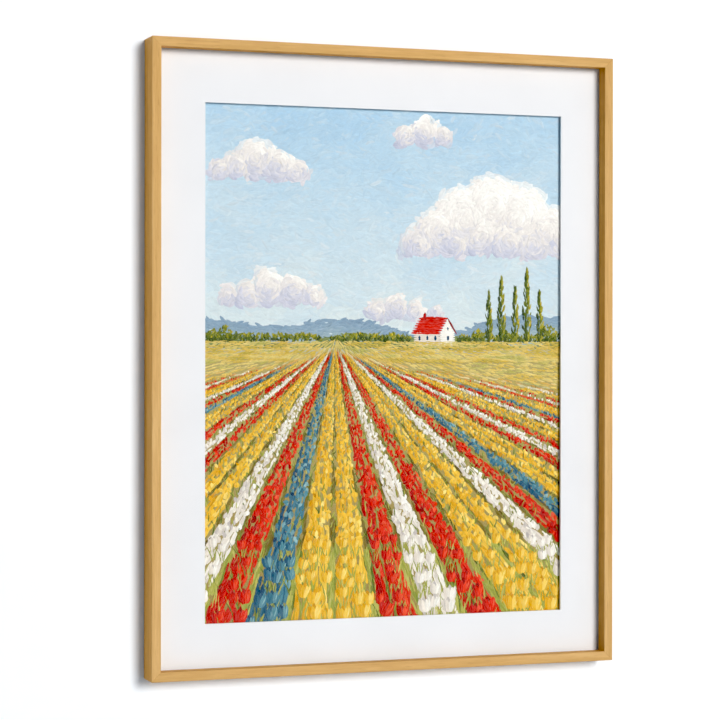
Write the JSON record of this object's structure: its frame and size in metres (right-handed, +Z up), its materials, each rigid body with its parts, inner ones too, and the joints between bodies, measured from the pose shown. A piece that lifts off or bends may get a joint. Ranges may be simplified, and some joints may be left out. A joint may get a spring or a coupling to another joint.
{
  "type": "framed art print",
  "caption": "Upright picture frame in pale oak with mitred corners, clear glazing, a wide white window mat and a painterly landscape print, made to hang on a wall.",
  "frame": {"origin": "on the back face of the top rail, midway along it and midway across the rail's back wall", "axes": "+Z up, +Y from the picture into the wall, so the picture faces -Y, and +X to the right for someone who looks at the picture"},
  "size_m": [0.5716, 0.034, 0.724],
  "materials": {
    "oak": "satin lacquer, fine lengthwise grain",
    "acrylic": "clear, smooth",
    "white_board": "matt",
    "printed_paper": "matt print with brush relief",
    "foam_board": "matt",
    "fibreboard": "smooth matt",
    "steel": "zinc plated"
  },
  "bodies": {
    "root": {"rail_top": "oak", "rail_right": "oak", "rail_bottom": "oak", "rail_left": "oak", "glazing_sheet": "acrylic", "mat_board": "white_board", "mat_riser": "foam_board", "art_print": "printed_paper", "backing_board": "fibreboard", "tab_top_1": "steel", "tab_top_2": "steel", "tab_top_3": "steel", "tab_right_1": "steel", "tab_right_2": "steel", "tab_right_3": "steel", "tab_right_4": "steel", "tab_bottom_1": "steel", "tab_bottom_2": "steel", "tab_bottom_3": "steel", "tab_left_1": "steel", "tab_left_2": "steel", "tab_left_3": "steel", "tab_left_4": "steel", "hanger_left": "steel", "hanger_right": "steel", "rivet_left_1": "steel", "rivet_left_2": "steel", "rivet_right_1": "steel", "rivet_right_2": "steel"}
  },
  "joints": []
}
